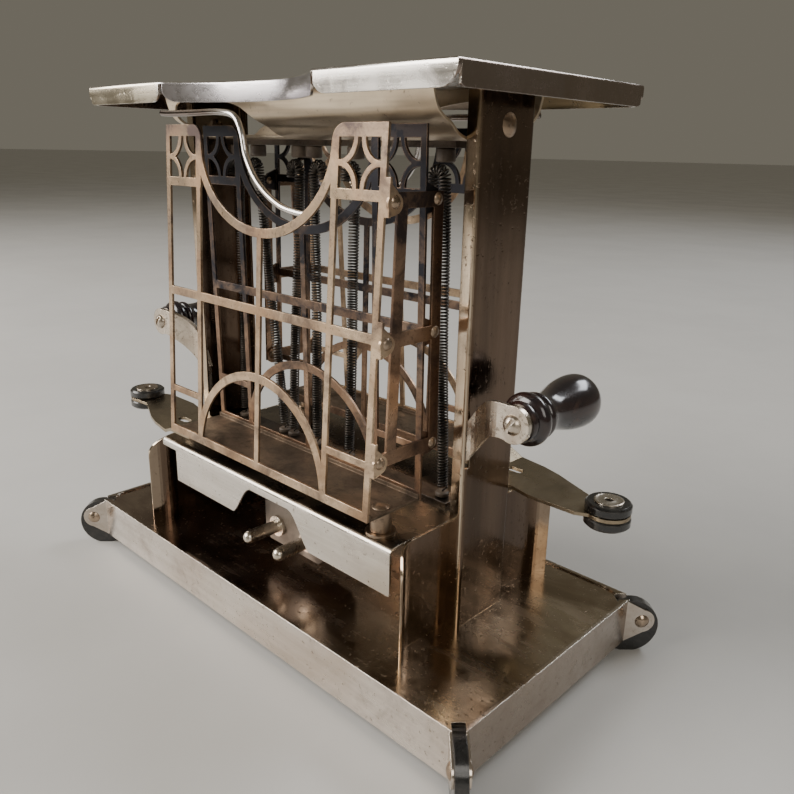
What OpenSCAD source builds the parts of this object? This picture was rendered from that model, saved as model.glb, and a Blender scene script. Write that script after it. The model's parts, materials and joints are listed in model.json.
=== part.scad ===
// Electric toaster with two swinging bread baskets, one on each side of a row of hot coils.
// The origin is on the table under the middle of the base. +X runs along the toaster to its
// right end, the front faces -Y and +Z is up. The back half is the front half turned by 180
// degrees about +Z, apart from the plug pins and the two carrying handles.

/* [Base] */
// Length of the base
base_len = 210; // [200:1:220]
// Width of the base
base_wid = 99; // [97:1:104]
// Height of the base's top edge above the table
base_top = 21.2; // [20.8:0.1:24]
// Depth of the flange round the base
base_depth = 17; // [14:0.5:18]
// Radius of the fibre foot discs
foot_r = 10.4; // [9:0.1:10.4]
// Thickness of the fibre foot discs
foot_thick = 4; // [3:0.5:5]

/* [Frame] */
// Thickness of the sheet metal
sheet = 0.8; // [0.6:0.1:1]
// Outer face of each post, from the middle
post_x = 71.8; // [71.2:0.1:72.4]
// Width of each post
post_wid = 25.8; // [24:0.2:26]
// Depth of each post's channel
post_deep = 5; // [4.6:0.1:5.4]
// Height of the shelf above the base
shelf_rise = 37.5; // [34:0.5:40]
// Width of the shelf
shelf_wid = 76.4; // [74:0.2:77]
// Depth of the shelf's aprons
apron_deep = 16.5; // [12:0.5:18]
// Height of the top plate above the base
plate_rise = 172.9; // [170:0.1:180]
// Length of the top plate
plate_len = 180; // [174:1:190]
// Width of the top plate
plate_wid = 88; // [84:1:92]
// Distance from the middle to the bottom of each scoop in the top plate
scoop_reach = 29.8; // [29.6:0.1:34]

/* [Baskets] */
// Half length of a basket
basket_half = 55.7; // [54:0.1:56]
// Depth of a basket at its floor
basket_deep = 24.4; // [22:0.1:24.8]
// Height of a basket's corner towers
tower_high = 114.3; // [110:0.1:114.5]
// Middle of the front basket along the toaster
basket_x = 4.4; // [2:0.1:4.8]
// Middle of the front basket across the toaster
basket_y = -29.9; // [-31:0.1:-29.6]
// Height of the basket floors above the base
floor_rise = 45.5; // [44:0.1:45.6]
// Inward lean of the outer grille in degrees
outer_lean = 3.4; // [2:0.1:4]
// Outward lean of the inner grille in degrees
inner_lean = 0.85; // [0.5:0.05:1.5]
// Thickness of the grille sheet
grille_thick = 0.9; // [0.7:0.1:1.2]

/* [Handles] */
// Distance from the middle to the eye of a handle arm
eye_x = 92.4; // [90:0.1:94]
// Height of the handle eye above the base
eye_rise = 79.3; // [77:0.1:81]
// Length of a wooden grip
grip_len = 44.5; // [40:0.5:48]
// Largest radius of a wooden grip
grip_r = 8.5; // [7.5:0.1:9]

/* [Heating] */
// Radius of a heating coil over its turns
coil_r = 2; // [1.8:0.1:2.2]
// Radius of the tube that stands for the wound wire
coil_wire_r = 0.45; // [0.35:0.05:0.5]
// Turns drawn on each coil
coil_turns = 15; // [8:1:16]
// Radius of a plug pin
pin_r = 2.4; // [2:0.1:2.5]
// Distance between the plug pins
pin_gap = 17.5; // [16:0.5:19]

/* [Hidden] */
$fn = 48;

nickel = [0.76, 0.71, 0.62];
stained_nickel = [0.62, 0.50, 0.36];
bronze = [0.60, 0.47, 0.30];
dark_steel = [0.20, 0.18, 0.17];
bright_wire = [0.85, 0.84, 0.82];
black_fibre = [0.06, 0.055, 0.05];
dark_walnut = [0.13, 0.07, 0.045];
porcelain = [0.78, 0.72, 0.64];
floor_brown = [0.33, 0.27, 0.22];

// Recess of the base's top panel inside its raised lip, and the lip's width
recess = 0.6;
lip = 1.4;
deck = base_top - recess;
shelf_top = base_top + shelf_rise;
plate_top = base_top + plate_rise;
plate_under = plate_top - sheet;
// The plate's flange is cut into segments with rounded lower corners; the wings start at this x
plate_flange = 6.5;
flange_corner = 5.2;
wing_x = 39;
floor_z = base_top + floor_rise;
eye_z = base_top + eye_rise;

// Each foot sits on the diagonal of its corner, this far in from the corner point
foot_inset = 0.8;
foot_worn = 0.3;
foot_slot = 6.4;
ear_r = 4.6;
ear_out = 3.2;
ear_drop = 8.5;
rivet_r = 1.6;
fit = 0.05;

// Each end panel stands inside its post, and the right pair sits this far towards the back
end_shift = 1.8;
web_x = post_x - sheet;
panel_x = post_x - post_deep;
flare_r = 9;
flare_start = 31.5;
flare_run = 2.8;
panel_half = 40.5;
panel_corner = 10;
top_rivet_z = base_top + 160;
top_rivet_r = 2;

// Outer profile of the rail under the top plate: distance from the middle, height above base
rail_profile = [[10.5, 155.5], [14.5, 156.9], [18, 159.6], [22.5, 162.4], [26.5, 165.6],
                [28.6, 169.5]];
rail_bottom = base_top + rail_profile[0][1];
rail_end = post_x - post_deep - 0.2;
// The flank over each basket's spring wire is cut away up to this height, left of the cut's middle
rail_cut_z = base_top + 165;
rail_cut_x = -21;
cut_reach = 35;

// The front basket swings about this upright line near its closed right end
pivot_in = 4.1;
pivot_fore = 2.1;
swing_x = basket_x + basket_half - pivot_in;
swing_y = basket_y - pivot_fore;
spindle_r = 3;
spindle_play = 0.05;
bushing_high = 0.9;

bar = 2.3;
band = 3;
tower_bar = 3;
tower_band = 3.8;
tower_round = 5;
ear_deep = 4.6;
back_ear_deep = 6.6;
ladder_band = 4.4;
ladder_end = 5.9;
slat_wide = 4.1;
ladder_rivet_in = 2.5;
back_rivet_in = 4.4;
ladder_hole_r = 0.95;
tower_inner = 35.1;
tower_foot = 93.7;
middle_bar = 55.9;
side_bar = 18;
scoop_centre = 110;
scoop_low = 81;
arch_high = 33;
band_heights = [94, 55, 19];

// Route of the spring wire, from its upturned free end to the scoop band it is fixed behind
wire_r = 1.1;
wire_route = [[-67, -30, 164.2], [-62, -30, 163.8], [-56, -30.2, 163.6], [-40, -30.4, 163.6],
              [-25, -30.6, 163.6], [-16, -30.8, 162.2], [-11.6, -31.1, 157], [-9, -31.6, 150],
              [-4, -32.3, 143.6], [3, -33, 138.6], [12, -34, 135], [20, -34.6, 133.7], [26, -34.9, 133.4]];

lever_thick = 1.2;
// The lever steps down this far beyond the basket's free end
lever_drop = 2.2;
lever_z = floor_z - lever_thick - lever_drop;
step_from = -53;
step_to = -58.5;
lever_eye = [-104.4, -23.1];
lever_eye_r = 7.3;
lever_slot = [-63.7, -28.8];
slot_r = 1.7;
button_r = 7.5;
button_thick = 3.5;

arm_thick = 1.5;
// How far each handle arm bends forward between the post and its eye
arm_fore = 6.6;
bend_from = 73.2;
bend_to = 87;
eye_r = 5.7;
washer_thick = 1;
screw_r = 1.8;
screw_len = 24;

// Upper and lower ends of the six coils along the toaster
coil_tops = [-58, -45, -20, -12, 10, 50];
coil_feet = [-61, -33, -27, -12, 6.6, 54];
insulator_r = 2.4;
upper_insulator_r = 3;
upper_strip_thick = 2;
upper_strip_half = 2.6;
lower_strip_thick = 1.5;
upper_insulator_high = 4.2;
lower_insulator_high = 1.8;
coil_high_z = rail_bottom - upper_strip_thick - upper_insulator_high;
coil_low_z = shelf_top + lower_strip_thick + lower_insulator_high;
coil_rings = 8;
coil_sides = 6;

pin_x = 5.5;
pin_z = base_top + 16;
pin_tip_y = -43;
block_front = -27;
block_deep = 16;
block_wid = 34;
block_low = pin_z - 7.5;

function unit(v) = v / norm(v);
function smooth(s) = s * s * (3 - 2 * s);
function mix(a, b, s) = a + (b - a) * s;
function arc(centre, r, from, to, steps) =
    [for (i = [0:steps]) let (a = mix(from, to, i / steps)) centre + r * [cos(a), sin(a)]];

// Points of a half ellipse below its centre, or above it when b is negative
function half_ellipse(centre, a, b, steps) =
    [for (i = [0:steps]) let (t = 180 * i / steps) centre + [-a * cos(t), -b * sin(t)]];

// Mitred normal on the left of an open flat path at point i
function path_normal(p, i) =
    let (before = i == 0 ? unit(p[1] - p[0]) : unit(p[i] - p[i - 1]))
    let (after = i == len(p) - 1 ? before : unit(p[i + 1] - p[i]))
    let (mean = unit(before + after))
    [-mean[1], mean[0]] / (before * mean);

// Closed outline of bent sheet of thickness t that lies to the left of path p
function bent_sheet(p, t) =
    concat(p, [for (i = [len(p) - 1:-1:0]) p[i] + t * path_normal(p, i)]);

function tangent(p, i) = unit(p[min(i + 1, len(p) - 1)] - p[max(i - 1, 0)]);
function square_to(n, t) = unit(n - (n * t) * t);

// Normals carried along a path in space, each one taken from the one before
function carried_normals(p, start) =
    [for (i = 0, n = start; i < len(p); n = square_to(n, tangent(p, min(i + 1, len(p) - 1))), i = i + 1) n];

// Smooth curve through hand-set points, with the given steps between each pair
function curve_point(a, b, c, d, s) =
    0.5 * (2 * b + (c - a) * s + (2 * a - 5 * b + 4 * c - d) * s * s
           + (3 * b - a - 3 * c + d) * s * s * s);
function curve(p, steps) =
    let (last = len(p) - 1)
    [for (i = [0:last - 1], j = [0:steps - (i == last - 1 ? 0 : 1)])
        curve_point(p[max(i - 1, 0)], p[i], p[i + 1], p[min(i + 2, last)], j / steps)];

// Round tube along a path in space
module tube(path, r, sides, start) {
    count = len(path);
    normals = carried_normals(path, start);
    rings = [for (i = [0:count - 1])
        let (t = tangent(path, i), n = square_to(normals[i], t), m = cross(t, n))
        for (k = [0:sides - 1]) path[i] + r * (n * cos(360 * k / sides) + m * sin(360 * k / sides))];
    walls = [for (i = [0:count - 2], k = [0:sides - 1])
        let (a = i * sides + k, b = i * sides + (k + 1) % sides)
        each [[a, b, a + sides], [b, b + sides, a + sides]]];
    near_cap = [for (k = [sides - 1:-1:0]) k];
    far_cap = [for (k = [0:sides - 1]) (count - 1) * sides + k];
    polyhedron(rings, concat([near_cap], walls, [far_cap]));
}

module turned() rotate([0, 0, 180]) children();
// Flat shape stood up in the XZ plane, filling y from 0 to the thickness
module upright(thick) translate([0, thick, 0]) rotate([90, 0, 0]) linear_extrude(thick) children();
// Flat shape in the YZ plane, pushed along +X by the length
module along_x(length) rotate([90, 0, 90]) linear_extrude(length) children();
module along_y(length, r) rotate([-90, 0, 0]) cylinder(h = length, r = r);

// Domed rivet head on the XY plane
module dome(r, high) {
    ball = (r * r + high * high) / (2 * high);
    intersection() {
        translate([0, 0, high - ball]) sphere(r = ball);
        cylinder(h = high + 1, r = r);
    }
}

// Frame whose X runs out along the diagonal of the corner on sides sx and sy
module at_corner(sx, sy) {
    translate([sx * base_len / 2, sy * base_wid / 2, 0])
        rotate([0, 0, atan2(sy, sx)])
            children();
}

module foot_ear() {
    polygon([[-2.8, -0.3], [-2.8, -base_depth + 0.2], [ear_out + 1.2, -ear_drop - 4.3],
             [ear_out + 1.2, -ear_drop + 4.3]]);
    translate([ear_out, -ear_drop]) circle(r = ear_r);
}

module rounded_slab(length, width, r, high) {
    translate([-length / 2 + r, -width / 2, 0]) cube([length - 2 * r, width, high]);
    translate([-length / 2, -width / 2 + r, 0]) cube([length, width - 2 * r, high]);
    for (sx = [-1, 1], sy = [-1, 1])
        translate([sx * (length / 2 - r), sy * (width / 2 - r), 0]) cylinder(h = high, r = r);
}

module base_pan() {
    low = base_top - base_depth;
    color(nickel) difference() {
        union() {
            difference() {
                translate([-base_len / 2, -base_wid / 2, low]) cube([base_len, base_wid, base_depth]);
                translate([-base_len / 2 + sheet, -base_wid / 2 + sheet, low - 1])
                    cube([base_len - 2 * sheet, base_wid - 2 * sheet, base_depth - recess - sheet + 1]);
                translate([0, 0, deck])
                    rounded_slab(base_len - 2 * lip, base_wid - 2 * lip, 9, recess + 1);
                for (sx = [-1, 1], sy = [-1, 1])
                    at_corner(sx, sy)
                        translate([-foot_slot, -foot_thick / 2, low - 1])
                            cube([foot_slot + 4, foot_thick, base_depth + 2]);
            }
            for (sx = [-1, 1], sy = [-1, 1], side = [-1, 1])
                at_corner(sx, sy)
                    translate([0, side * (foot_thick + sheet) / 2 - sheet / 2, base_top])
                        upright(sheet) foot_ear();
        }
        for (sx = [-1, 1], sy = [-1, 1])
            at_corner(sx, sy)
                translate([ear_out, -foot_thick, base_top - ear_drop])
                    along_y(2 * foot_thick, rivet_r + fit);
    }
}

module foot(sx, sy) {
    color(black_fibre) at_corner(sx, sy) difference() {
        translate([-foot_inset, -foot_thick / 2, foot_r - foot_worn]) along_y(foot_thick, foot_r);
        translate([ear_out, -foot_thick, base_top - ear_drop]) along_y(2 * foot_thick, rivet_r + fit);
        translate([-foot_inset - 5, -foot_thick, -2]) cube([10, 2 * foot_thick, 2]);
    }
}

module foot_rivets() {
    grip = foot_thick / 2 + sheet;
    color(nickel) for (sx = [-1, 1], sy = [-1, 1])
        at_corner(sx, sy) translate([ear_out, 0, base_top - ear_drop]) {
            translate([0, -grip, 0]) along_y(2 * grip, rivet_r);
            translate([0, -grip, 0]) rotate([90, 0, 0]) dome(2.6, 1.1);
            translate([0, grip, 0]) rotate([-90, 0, 0]) dome(2.6, 1.1);
        }
}

// Sheet section of the shelf across the toaster, with rounded upper edges
function shelf_section() =
    let (half = shelf_wid / 2, low = shelf_top - apron_deep, bend = 2.4)
    bent_sheet(concat([[half, low]], arc([half - bend, shelf_top - bend], bend, 0, 90, 6),
                      arc([bend - half, shelf_top - bend], bend, 90, 180, 6), [[-half, low]]), sheet);

// Opening in the front apron over the plug pins, with an S-shaped rise at each side
function apron_mouth() =
    let (low = shelf_top - apron_deep - 1, rise = 13.4, run = 13, half = 24)
    concat([for (i = [0:8]) [pin_x - half + run * i / 8, low + rise * smooth(i / 8)]],
           [for (i = [8:-1:0]) [pin_x + half - run * i / 8, low + rise * smooth(i / 8)]]);

module shelf() {
    length = 2 * (panel_x - sheet);
    low = shelf_top - apron_deep;
    color(nickel) difference() {
        translate([-length / 2, 0, 0]) along_x(length) polygon(shelf_section());
        translate([0, -shelf_wid / 2 - 1, 0]) upright(4) polygon(apron_mouth());
        for (side = [0, 180]) rotate([0, 0, side]) {
            translate([-length / 2 - 1, -shelf_wid / 2 - 1, low - 1]) cube([11, 4, apron_deep - 2.4]);
            translate([swing_x, swing_y, shelf_top - 2]) cylinder(h = 3, r = 4.4);
        }
    }
}

// Upright end panel whose front and back edges curl outward
module end_panel() {
    flare_end = flare_r * (1 - cos(45));
    inner = panel_x - sheet;
    half_path = concat([[inner, 0]], arc([inner + flare_r, flare_start], flare_r, 180, 135, 6),
                       [[inner + flare_end + flare_run, flare_start + flare_r * sin(45) + flare_run]]);
    path = concat([for (i = [len(half_path) - 1:-1:1]) [half_path[i][0], -half_path[i][1]]], half_path);
    high = shelf_top - deck;
    color(stained_nickel) translate([0, end_shift, 0]) intersection() {
        translate([0, 0, deck]) linear_extrude(high) polygon(bent_sheet(path, -sheet));
        translate([panel_x - 5, 0, deck]) along_x(20) {
            translate([-panel_half, 0]) square([2 * panel_half, high - panel_corner]);
            translate([-panel_half + panel_corner, 0]) square([2 * (panel_half - panel_corner), high]);
            for (side = [-1, 1])
                translate([side * (panel_half - panel_corner), high - panel_corner])
                    circle(r = panel_corner);
        }
    }
}

// Upright channel, open toward the coils, with a slot in its web for the handle arm at slot_y
module post(slot_y) {
    half = post_wid / 2;
    bend = 1.6;
    path = concat([[panel_x, -half]], arc([post_x - bend, bend - half], bend, -90, 0, 5),
                  arc([post_x - bend, half - bend], bend, 0, 90, 5), [[panel_x, half]]);
    color(stained_nickel) difference() {
        translate([0, 0, deck]) linear_extrude(plate_under - deck) polygon(bent_sheet(path, sheet));
        translate([post_x - 1.9, slot_y, base_top + 57.4]) cube([3, 1.8, 16.4]);
        translate([post_x - 3, 0, top_rivet_z]) rotate([0, 90, 0]) cylinder(h = 4, r = top_rivet_r + fit);
    }
}

module post_rivets() {
    color(nickel) for (side = [0, 180])
        rotate([0, 0, side]) translate([post_x, end_shift, top_rivet_z]) {
            rotate([0, 90, 0]) dome(3.5, 1.3);
            translate([-2 * sheet, 0, 0]) rotate([0, 90, 0]) cylinder(h = 2 * sheet, r = top_rivet_r);
            translate([-2 * sheet, 0, 0]) rotate([0, -90, 0]) dome(3.2, 1);
        }
}

// Outline of the part of a flank that is cut away, seen from the front, with an S-shaped end
function rail_cut() =
    let (low = rail_bottom - 1, run = 10, left = -rail_end - 1, right = rail_cut_x + run / 2)
    concat([[left, low], [right, low]],
           [for (i = [0:10]) [right - run * i / 10, low + (rail_cut_z - low) * smooth(i / 10)]],
           [[left, rail_cut_z]]);

// Hollow tray below the top plate, joined to the posts by a tongue at each end
module top_rail() {
    last = len(rail_profile) - 1;
    side = concat([for (i = [0:last]) [rail_profile[i][0], base_top + rail_profile[i][1]]],
                  [[rail_profile[last][0], plate_under]]);
    path = concat([for (i = [last + 1:-1:0]) [-side[i][0], side[i][1]]], side);
    tongue = 9;
    tongue_high = 10;
    color(nickel) difference() {
        union() {
            translate([-rail_end, 0, 0]) along_x(2 * rail_end) polygon(bent_sheet(path, sheet));
            for (end = [0, 180]) rotate([0, 0, end]) {
                translate([rail_end - 1, end_shift - tongue, rail_bottom])
                    cube([web_x - rail_end + 1, 2 * tongue, sheet]);
                translate([web_x - sheet, end_shift - tongue, rail_bottom])
                    cube([sheet, 2 * tongue, tongue_high]);
            }
        }
        for (end = [0, 180]) rotate([0, 0, end]) {
            translate([web_x - 2, end_shift, top_rivet_z]) rotate([0, 90, 0])
                cylinder(h = 4, r = top_rivet_r + fit);
            translate([0, -cut_reach, 0]) upright(cut_reach - rail_profile[0][0] - 2) polygon(rail_cut());
        }
    }
}

// Radius of the scoop in each long side of the top plate
function scoop_r() =
    let (deep = plate_wid / 2 - scoop_reach)
    (wing_x * wing_x + deep * deep) / (2 * deep);

// Outline of the top plate, moved in by an inset, with a round scoop in its front and its back
function plate_outline(inset) =
    let (half = plate_wid / 2, r = scoop_r())
    let (centre = scoop_reach + r, ring = r + inset, edge = half - inset)
    let (sweep = acos((centre - edge) / ring), x = plate_len / 2 - inset)
    let (front = arc([0, -centre], ring, 90 + sweep, 90 - sweep, 24))
    concat([[-x, -edge]], front, [[x, -edge], [x, edge]], [for (p = front) -p], [[-x, edge]]);

// Rounds off the lower corner of a flange that runs to -X from the origin, its outer face at y = 0
module flange_notch() {
    r = flange_corner;
    difference() {
        translate([-r, -0.6, -plate_flange - 1]) cube([r + 0.6, sheet + 0.7, r + 1]);
        translate([-r, -2, r - plate_flange]) along_y(4, r);
    }
}

module top_plate() {
    half = plate_wid / 2;
    turn = asin(wing_x / scoop_r());
    color(nickel) difference() {
        union() {
            translate([0, 0, plate_under]) linear_extrude(sheet) polygon(plate_outline(0));
            translate([0, 0, plate_top - plate_flange])
                linear_extrude(plate_flange - sheet / 2) difference() {
                    polygon(plate_outline(0));
                    polygon(plate_outline(sheet));
                }
        }
        for (end = [0, 180]) rotate([0, 0, end]) {
            translate([plate_len / 2, -half, plate_top]) flange_notch();
            translate([-plate_len / 2, -half, plate_top]) mirror([1, 0, 0]) flange_notch();
            translate([plate_len / 2, half, plate_top]) rotate([0, 0, 90]) flange_notch();
            translate([plate_len / 2, -half, plate_top]) rotate([0, 0, 90]) mirror([1, 0, 0]) flange_notch();
            translate([-wing_x, -half, plate_top]) flange_notch();
            translate([wing_x, -half, plate_top]) mirror([1, 0, 0]) flange_notch();
            translate([wing_x, -half, plate_top]) rotate([0, 0, -turn]) flange_notch();
            translate([-wing_x, -half, plate_top]) rotate([0, 0, turn]) mirror([1, 0, 0]) flange_notch();
        }
    }
}

// Front face of a handle arm inside its post, and the front face at its eye
function arm_front(shift) = shift - post_wid / 2 + sheet;
function eye_front(shift) = arm_front(shift) - arm_fore;

// Flat arm that lies in the post, comes out through its slot and bends up and forward to the eye
module handle_arm(shift) {
    eye = [eye_x, eye_z];
    foot = [panel_x + 0.4, base_top + 52];
    side_centre = curve([[68.6, base_top + 61.5], [71.6, base_top + 66.4], [78.7, base_top + 75.2],
                         [85.5, eye_z], eye], 5);
    last = len(side_centre) - 1;
    half = [for (i = [0:last]) mix(3.3, 5.3, smooth(min(1, i / (last - 4))))];
    upper = [for (i = [0:last]) side_centre[i] + half[i] * path_normal(side_centre, i)];
    lower = [for (i = [last:-1:0]) side_centre[i] - half[i] * path_normal(side_centre, i)];
    plan = concat([[panel_x - 1, arm_front(shift)]],
                  [for (i = [0:10]) [mix(bend_from, bend_to, i / 10),
                                     arm_front(shift) - arm_fore * smooth(i / 10)]],
                  [[eye_x + 8, eye_front(shift)]]);
    color(nickel) difference() {
        intersection() {
            translate([0, 0, foot[1] - 1]) linear_extrude(60) polygon(bent_sheet(plan, arm_thick));
            translate([0, eye_front(shift) - 1, 0]) union() {
                upright(12) polygon(concat(upper, lower));
                translate([eye[0], 0, eye[1]]) along_y(12, eye_r);
                translate([foot[0], 0, foot[1]]) cube([2.6, 12, 14]);
            }
        }
        translate([eye_x, eye_front(shift) - 1, eye_z]) along_y(2 * arm_thick, screw_r + fit);
    }
}

// Turned wooden grip that points to +Y from the arm, with two beads at its collar and a round bulb
module grip(shift) {
    neck_r = 5.8;
    bulb_at = 0.76 * grip_len;
    tip = 68;
    body = concat([[0, 0], [5.9, 0], [6.2, 0.6], [6.2, 1.8], [neck_r, 2.3]],
                  arc([neck_r, 5], 2.3, -90, 90, 10), arc([neck_r - 0.1, 9], 1.5, -90, 90, 8),
                  [for (i = [0:12]) let (s = i / 12)
                      [mix(neck_r, grip_r, smooth(s)), mix(12.5, bulb_at, s)]],
                  [for (i = [1:10]) let (a = tip * i / 10)
                      [grip_r * cos(a), bulb_at + (grip_len - bulb_at) * sin(a) / sin(tip)]],
                  [[0, grip_len]]);
    color(dark_walnut) translate([eye_x, eye_front(shift) + arm_thick + washer_thick, eye_z])
        rotate([-90, 0, 0]) difference() {
            rotate_extrude() polygon(body);
            translate([0, 0, -1]) cylinder(h = screw_len + 2, r = screw_r + fit);
        }
}

module grip_washers() {
    color(nickel) for (side = [-1, 1])
        translate([side * eye_x, eye_front(side * end_shift) + arm_thick, eye_z]) difference() {
            along_y(washer_thick, 5.5);
            translate([0, -1, 0]) along_y(washer_thick + 2, screw_r + fit);
        }
}

module grip_screws() {
    color(nickel) for (side = [-1, 1])
        translate([side * eye_x, eye_front(side * end_shift), eye_z]) difference() {
            union() {
                rotate([90, 0, 0]) dome(3.1, 2);
                along_y(screw_len, screw_r);
            }
            rotate([0, -66, 0]) translate([-5, -3, -0.6]) cube([10, 2.1, 1.2]);
        }
}

module terminal_block() {
    low = block_low;
    high = shelf_top - sheet - low;
    color(porcelain) difference() {
        translate([pin_x - block_wid / 2, block_front, low]) cube([block_wid, block_deep, high]);
        for (side = [-1, 1]) {
            translate([pin_x + side * pin_gap / 2, block_front - 1, pin_z]) along_y(9, pin_r + fit);
            translate([pin_x + side * block_wid / 2, block_front, low]) rotate([0, 45, 0])
                translate([-2, -1, -2]) cube([4, block_deep + 2, 4]);
        }
    }
}

module plug_pin(side) {
    collar = 1.4;
    color(nickel) translate([pin_x + side * pin_gap / 2, 0, pin_z]) {
        translate([0, pin_tip_y + pin_r, 0]) along_y(block_front + 8 - pin_tip_y - pin_r, pin_r);
        translate([0, pin_tip_y + pin_r, 0]) sphere(r = pin_r);
        translate([0, block_front - collar, 0]) along_y(collar, 4);
    }
}

module upper_element_strip() {
    color(dark_steel) translate([-63, -upper_strip_half, rail_bottom - upper_strip_thick])
        cube([119, 2 * upper_strip_half, upper_strip_thick]);
}

module lower_element_strip() {
    color(dark_steel) translate([-66, -4, shelf_top]) cube([125, 8, lower_strip_thick]);
}

module insulator(r, high) {
    rotate_extrude() polygon([[0, 0], [r - 0.4, 0], [r, 0.4], [r, high - 0.4], [r - 0.4, high], [0, high]]);
}

module upper_insulators() {
    color(porcelain) for (x = coil_tops)
        translate([x, 0, coil_high_z]) insulator(upper_insulator_r, upper_insulator_high);
}

module lower_insulators() {
    color(porcelain) for (x = coil_feet)
        translate([x, 0, shelf_top + lower_strip_thick]) insulator(insulator_r, lower_insulator_high);
}

// Wire path of one coil: a slanted helix with an upright tail at each end
function coil_path(i) =
    let (ring = coil_r - coil_wire_r, tail = 2 * coil_wire_r, count = coil_turns * coil_rings)
    let (low = [coil_feet[i], 0, coil_low_z + tail], high = [coil_tops[i], 0, coil_high_z - tail])
    concat([[low[0] + ring, 0, coil_low_z]],
           [for (k = [0:count]) let (a = 360 * k / coil_rings, s = k / count)
               mix(low, high, s) + ring * [cos(a), sin(a), 0]],
           [[high[0] + ring, 0, coil_high_z]]);

// Least clear gap between one turn of a coil and the next
function coil_gap(p) =
    min([for (i = [0:len(p) - 1], j = [i + coil_rings / 2:min(i + 2 * coil_rings, len(p) - 1)])
        norm(p[i] - p[j])]) - 2 * coil_wire_r;

module heating_coil(i) {
    path = coil_path(i);
    turns = [for (k = [1:len(path) - 2]) path[k]];
    echo(str("heating coil ", i + 1, " least gap between turns "), coil_gap(turns));
    color(dark_steel) tube(path, coil_wire_r, coil_sides, [1, 0, 0]);
}

// Flanged sleeve in the shelf that the basket's spindle turns in
module bushing() {
    color(nickel) translate([swing_x, swing_y, shelf_top]) difference() {
        union() {
            cylinder(h = bushing_high, r = 5);
            translate([0, 0, -1.3]) cylinder(h = 1.4, r = 4.4);
        }
        translate([0, 0, -3]) cylinder(h = 6, r = spindle_r + spindle_play);
    }
}

// Curved band of the grille along half an ellipse
module ellipse_band(centre, a, b, wide) {
    half = wide / 2;
    polygon(concat(half_ellipse(centre, a + half, b + sign(b) * half, 28),
                   [for (i = [28:-1:0]) half_ellipse(centre, a - half, b - sign(b) * half, 28)[i]]));
}

// Four-pointed star in a window, from a quarter ring round each corner
module star_window(wide, high) {
    r = min(wide, high) / 2;
    intersection() {
        translate([-wide / 2 - 0.1, -high / 2 - 0.1]) square([wide + 0.2, high + 0.2]);
        union() {
            for (sx = [-1, 1], sy = [-1, 1]) translate([sx * wide / 2, sy * high / 2]) difference() {
                circle(r = r + 0.8);
                circle(r = r - 0.8);
            }
        }
    }
}

// Corner tower of a grille, drawn for the right side, with its scoop-side top corner rounded
module tower() {
    inner = tower_inner - tower_bar / 2;
    high = tower_high - tower_foot;
    wide = basket_half - inner;
    window = wide - bar - tower_bar;
    translate([inner, tower_foot]) difference() {
        union() {
            translate([tower_round, 0]) square([wide - tower_round, high]);
            square([wide, high - tower_round]);
            translate([tower_round, high - tower_round]) circle(r = tower_round);
        }
        translate([tower_bar, band]) square([window, high - band - tower_band]);
    }
    translate([inner + tower_bar + window / 2, tower_foot + band + (high - band - tower_band) / 2])
        star_window(window, high - band - tower_band);
}

// Pierced face of a basket, in the XZ plane
module grille_face() {
    wide = basket_half - tower_inner;
    for (side = [0, 1]) mirror([side, 0]) {
        tower();
        translate([basket_half - bar, 0]) square([bar, tower_high - 1]);
        translate([tower_inner - bar / 2, 0]) square([bar, tower_foot + 1]);
        translate([tower_inner, side_bar - bar / 2]) square([wide, bar]);
    }
    translate([-bar / 2, 0]) square([bar, scoop_low]);
    translate([-basket_half, 0]) square([2 * basket_half, band]);
    translate([-basket_half, middle_bar - band / 2]) square([2 * basket_half, band]);
    ellipse_band([0, scoop_centre], tower_inner, scoop_centre - scoop_low, band);
    ellipse_band([0, 0], tower_inner, -arch_high, band);
}

// Ears at the closed end, in the YZ plane at x = 0, bent back from the grille and riveted to the ladder
module grille_ears(deep, rivet_in) {
    for (high = band_heights) translate([0, high]) difference() {
        union() {
            polygon([[0, -4.2], [deep - 1.6, -3.4], [deep - 0.4, -1.6], [deep - 0.4, 1.2],
                     [deep - 1.4, 2.8], [0.9, 4.6], [0, 6.4]]);
            translate([rivet_in, -0.4]) circle(r = 2.9);
        }
        translate([rivet_in, 0]) circle(r = ladder_hole_r);
    }
}

module in_basket() translate([basket_x, basket_y, floor_z]) children();
module on_outer() translate([0, -basket_deep / 2, 0]) rotate([-outer_lean, 0, 0]) children();
module on_inner() translate([0, basket_deep / 2, 0]) rotate([inner_lean, 0, 0]) children();

module outer_grille() {
    color(bronze) in_basket() on_outer() {
        upright(grille_thick) {
            grille_face();
            for (high = band_heights)
                translate([basket_half - 1, high - 4.2]) square([1 + 2 * grille_thick, 10.6]);
        }
        translate([basket_half + grille_thick, 0, 0])
            along_x(grille_thick) grille_ears(ear_deep, ladder_rivet_in);
    }
}

module inner_grille() {
    color(dark_steel) in_basket() on_inner() {
        translate([0, -grille_thick, 0]) upright(grille_thick) grille_face();
        translate([basket_half - grille_thick, -grille_thick, 0])
            along_x(grille_thick) grille_ears(back_ear_deep, back_rivet_in);
    }
}

module basket_floor() {
    wide = basket_deep - 2 * grille_thick;
    lip = 2.2;
    // The foot of the leaning outer grille would meet the floor's front edge and its lip
    edge = sheet * tan(outer_lean) + 0.02;
    lip_edge = lip * tan(outer_lean) + 0.02;
    color(floor_brown) in_basket() difference() {
        union() {
            translate([-basket_half, edge - wide / 2, 0])
                cube([2 * basket_half, wide - edge - 0.05, sheet]);
            translate([-basket_half, lip_edge - wide / 2, 0]) cube([2 * basket_half, sheet, lip]);
            translate([-basket_half, wide / 2 - sheet - 0.15, 0]) cube([2 * basket_half, sheet, lip]);
        }
        translate([swing_x - basket_x, swing_y - basket_y, -1]) cylinder(h = 3, r = 2 + fit);
    }
}

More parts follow.
